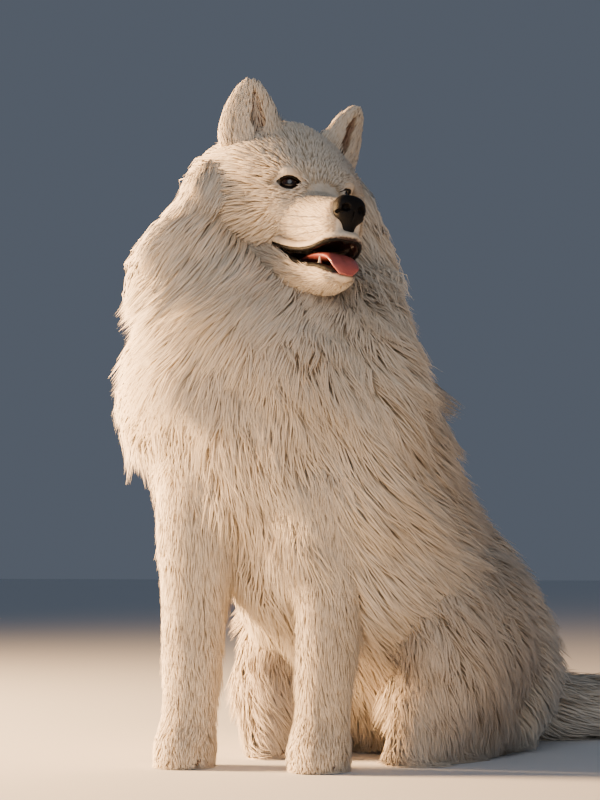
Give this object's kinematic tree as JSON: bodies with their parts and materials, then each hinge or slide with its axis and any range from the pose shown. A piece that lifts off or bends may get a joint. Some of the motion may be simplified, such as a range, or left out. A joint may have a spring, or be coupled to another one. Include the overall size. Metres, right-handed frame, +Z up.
{
  "type": "sitting samoyed model",
  "caption": "Life-size still model of a sitting Samoyed dog with a full ruff, upright ears and open mouth; rests on its rump and feet for display.",
  "frame": {"origin": "on the floor under the rump, where the dog sits", "axes": "+Z up, -Y the way the body faces, +X the dog's left"},
  "size_m": [0.599, 0.8635, 0.8076],
  "materials": {
    "coat": "long soft cream-white fur",
    "leather": "damp, finely pebbled",
    "eye": "wet, dark brown",
    "tongue": "wet pink",
    "tooth": "smooth ivory"
  },
  "bodies": {
    "root": {"head": "coat", "jaw": "coat", "ear_left": "coat", "ear_right": "coat", "neck": "coat", "torso": "coat", "foreleg_left": "coat", "foreleg_right": "coat", "hindleg_left": "coat", "hindleg_right": "coat", "tail": "coat", "nose": "leather", "eye_left": "eye", "eye_right": "eye", "tongue": "tongue", "tooth_left": "tooth", "tooth_right": "tooth"}
  },
  "joints": []
}
